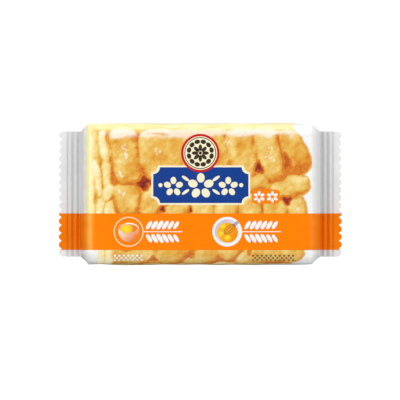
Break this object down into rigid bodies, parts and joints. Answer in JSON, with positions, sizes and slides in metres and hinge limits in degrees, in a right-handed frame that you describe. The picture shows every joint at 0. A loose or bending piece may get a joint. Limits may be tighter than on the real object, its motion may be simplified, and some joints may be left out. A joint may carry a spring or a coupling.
{
  "type": "flow-wrapped sachima pack",
  "caption": "Shut flow-wrapped sachima bar: opaque printed film drawn round a square block, with tucked gussets, crimped scalloped end seals and a flat fin down the back.",
  "frame": {"origin": "middle of the pack's outline, on the plane that it rests on", "axes": "+X along the pack from seal to seal, to the right of the printed front; +Y up the printed front; +Z out of the printed front, which lies uppermost"},
  "size_m": [0.11, 0.055, 0.026],
  "materials": {
    "white_film": "glossy white laminated film, drawn tight, with crimped seals",
    "orange_print": "flat orange print under the film's gloss",
    "golden_print": "shaded golden and pale yellow print of strips, under the film's gloss",
    "blue_print": "flat blue print under the film's gloss",
    "cream_print": "flat cream print under the film's gloss",
    "red_print": "flat red print under the film's gloss",
    "white_print": "flat white print under the film's gloss"
  },
  "bodies": {
    "root": {"sachima_pack": "white_film"}
  },
  "joints": []
}
